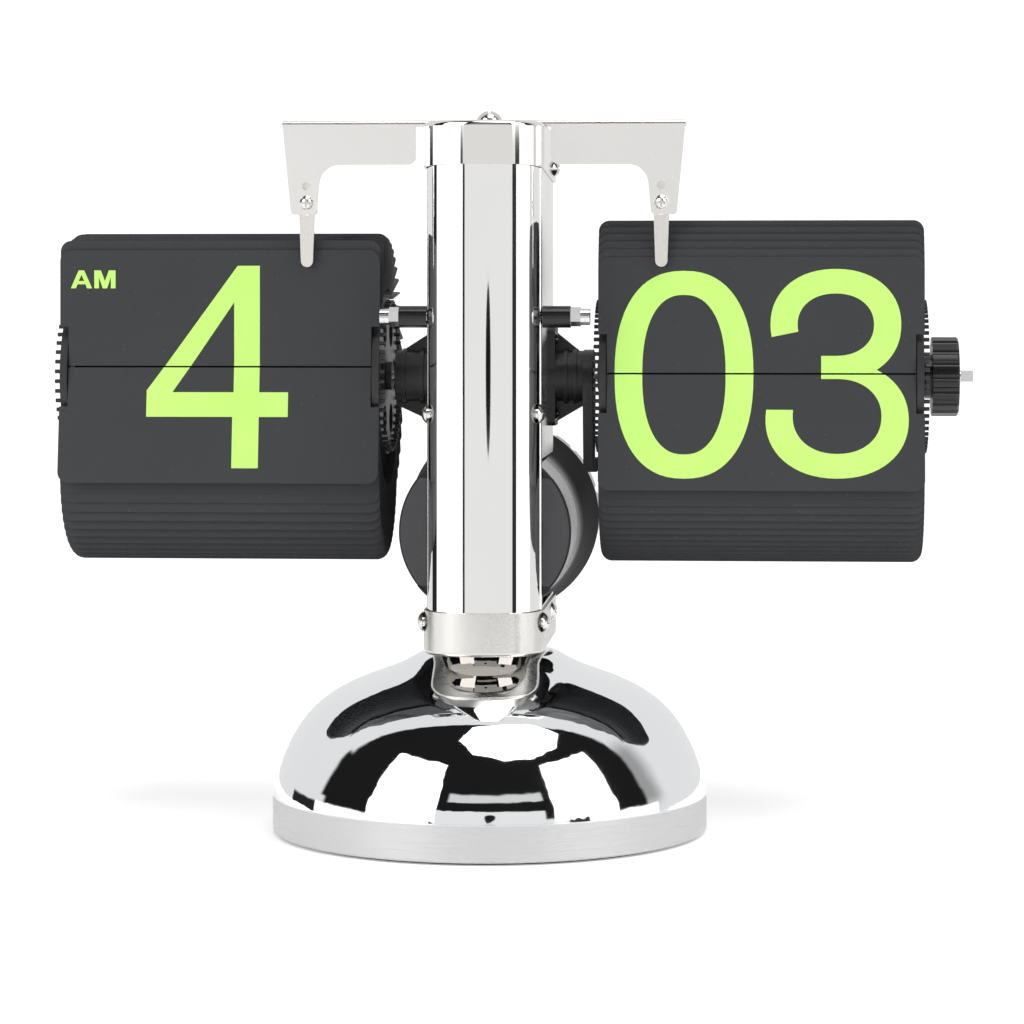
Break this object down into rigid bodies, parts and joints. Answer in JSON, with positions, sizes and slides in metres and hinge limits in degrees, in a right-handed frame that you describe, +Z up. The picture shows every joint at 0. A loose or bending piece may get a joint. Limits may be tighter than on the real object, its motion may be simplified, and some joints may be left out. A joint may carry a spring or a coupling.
{
  "type": "flip number clock",
  "caption": "Table clock with split flip leaves on two coaxial drums either side of a chromed column, on a domed round base.",
  "frame": {"origin": "centre of the underside of the round base", "axes": "+X to the right of the dial, along the drum axis; +Y to the back; +Z up"},
  "size_m": [0.2049, 0.1017, 0.1597],
  "materials": {
    "chromed_shell": "mirror-polished chrome plate on pressed steel, faint handling haze",
    "satin_nickel": "satin nickel plate, fine brushing",
    "finger_steel": "warm satin nickel plate on spring steel",
    "bright_steel": "bright drawn steel",
    "screw_steel": "plated screw heads",
    "leaf_plastic": "matte charcoal leaves with printed pale lime digits",
    "black_moulding": "black moulding with a fine grain",
    "black_gloss": "black moulding, semi-gloss",
    "grey_cap": "dark grey moulding, satin",
    "gear_plastic": "natural acetal",
    "brass": "plain brass, lightly brushed",
    "ballast_iron": "raw casting",
    "plate_steel": "black paint",
    "pad_rubber": "black foam rubber",
    "cell_jacket": "plain blue jacket without print",
    "case_plastic": "grey moulding"
  },
  "bodies": {
    "stand": {"arm_bar": "satin_nickel", "axle_bushes": "brass", "base_ballast": "ballast_iron", "base_bottom_plate": "plate_steel", "base_pad": "pad_rubber", "base_plate_screws": "screw_steel", "base_shell": "chromed_shell", "battery_can": "black_gloss", "battery_cell": "cell_jacket", "battery_contacts": "brass", "bracket_left": "black_moulding", "bracket_right": "black_moulding", "bracket_screws": "screw_steel", "can_front_cap": "grey_cap", "can_front_rim": "black_gloss", "cap_screw": "screw_steel", "collar": "satin_nickel", "column_frame": "satin_nickel", "column_front": "chromed_shell", "finger_screws": "screw_steel", "gear_arbors": "bright_steel", "gear_plates": "brass", "hour_leaf_upper": "leaf_plastic", "hour_stack_back": "leaf_plastic", "hour_stack_bottom": "leaf_plastic", "hour_stack_top": "leaf_plastic", "minute_cheek": "black_moulding", "minute_leaf_upper": "leaf_plastic", "minute_stack_back": "leaf_plastic", "minute_stack_bottom": "leaf_plastic", "minute_stack_top": "leaf_plastic", "movement_case": "case_plastic", "neck": "chromed_shell", "neck_bolts": "bright_steel", "panel_screws": "screw_steel", "tie_rod": "bright_steel", "tie_rod_nuts": "bright_steel", "tie_rod_sleeves": "black_gloss", "top_cap": "chromed_shell"},
    "minute_drum": {"minute_axle": "bright_steel", "minute_spool_inner": "black_moulding", "minute_spool_outer": "black_moulding", "minute_leaf_pins": "black_moulding", "setting_knob": "black_gloss", "minute_gear": "gear_plastic"},
    "hour_drum": {"hour_axle": "bright_steel", "hour_spool_inner": "black_moulding", "hour_spool_outer": "black_moulding", "hour_leaf_pins": "black_moulding", "hour_wheel": "gear_plastic"},
    "lay_a": {"lay_gear_a": "gear_plastic"},
    "lay_b": {"lay_gear_b": "gear_plastic"},
    "idler": {"idler_gear": "gear_plastic"},
    "transfer": {"transfer_gear": "gear_plastic"},
    "motor": {"motor_pinion": "gear_plastic"},
    "minute_flap": {"minute_leaf_lower": "leaf_plastic"},
    "hour_flap": {"hour_leaf_lower": "leaf_plastic"},
    "finger_l": {"finger_left": "finger_steel"},
    "finger_r": {"finger_right": "finger_steel"},
    "door": {"battery_door": "black_gloss"}
  },
  "joints": [
    {"name": "minute_spin", "type": "hinge", "parent": "stand", "child": "minute_drum", "pos_m": [0, 0.013, 0.1005], "axis": [1, 0, 0], "continuous": true},
    {"name": "hour_spin", "type": "hinge", "parent": "stand", "child": "hour_drum", "pos_m": [0, 0.013, 0.1005], "axis": [1, 0, 0], "continuous": true},
    {"name": "lay_a_spin", "type": "hinge", "parent": "stand", "child": "lay_a", "pos_m": [0, 0.0034, 0.1005], "axis": [1, 0, 0], "continuous": true},
    {"name": "lay_b_spin", "type": "hinge", "parent": "stand", "child": "lay_b", "pos_m": [0, 0.00149, 0.11154], "axis": [1, 0, 0], "continuous": true},
    {"name": "idler_spin", "type": "hinge", "parent": "stand", "child": "idler", "pos_m": [0, 0.00748, 0.11116], "axis": [1, 0, 0], "continuous": true},
    {"name": "transfer_spin", "type": "hinge", "parent": "stand", "child": "transfer", "pos_m": [0, 0.01543, 0.11429], "axis": [1, 0, 0], "continuous": true},
    {"name": "motor_spin", "type": "hinge", "parent": "stand", "child": "motor", "pos_m": [0, 0.01243, 0.1217], "axis": [1, 0, 0], "continuous": true},
    {"name": "minute_flap_turn", "type": "hinge", "parent": "stand", "child": "minute_flap", "pos_m": [0, -0.0038, 0.10053], "axis": [-1, 0, 0], "range_deg": [0, 165]},
    {"name": "hour_flap_turn", "type": "hinge", "parent": "stand", "child": "hour_flap", "pos_m": [0, -0.00376, 0.10173], "axis": [-1, 0, 0], "range_deg": [0, 165]},
    {"name": "finger_left_slide", "type": "slide", "parent": "stand", "child": "finger_l", "axis": [0, 0, 1], "range_m": [-0.0012, 0.0015]},
    {"name": "finger_right_slide", "type": "slide", "parent": "stand", "child": "finger_r", "axis": [0, 0, 1], "range_m": [-0.0012, 0.0015]},
    {"name": "door_pull", "type": "slide", "parent": "stand", "child": "door", "axis": [0, 1, 0], "range_m": [0, 0.03]}
  ],
  "couplings": [
    {"joint": "hour_spin", "follows": "minute_spin", "ratio": 0.041667},
    {"joint": "lay_a_spin", "follows": "minute_spin", "ratio": -0.5},
    {"joint": "lay_b_spin", "follows": "minute_spin", "ratio": 0.16667},
    {"joint": "idler_spin", "follows": "minute_spin", "ratio": -0.083333},
    {"joint": "transfer_spin", "follows": "minute_spin", "ratio": -1.3333},
    {"joint": "motor_spin", "follows": "minute_spin", "ratio": 4}
  ]
}
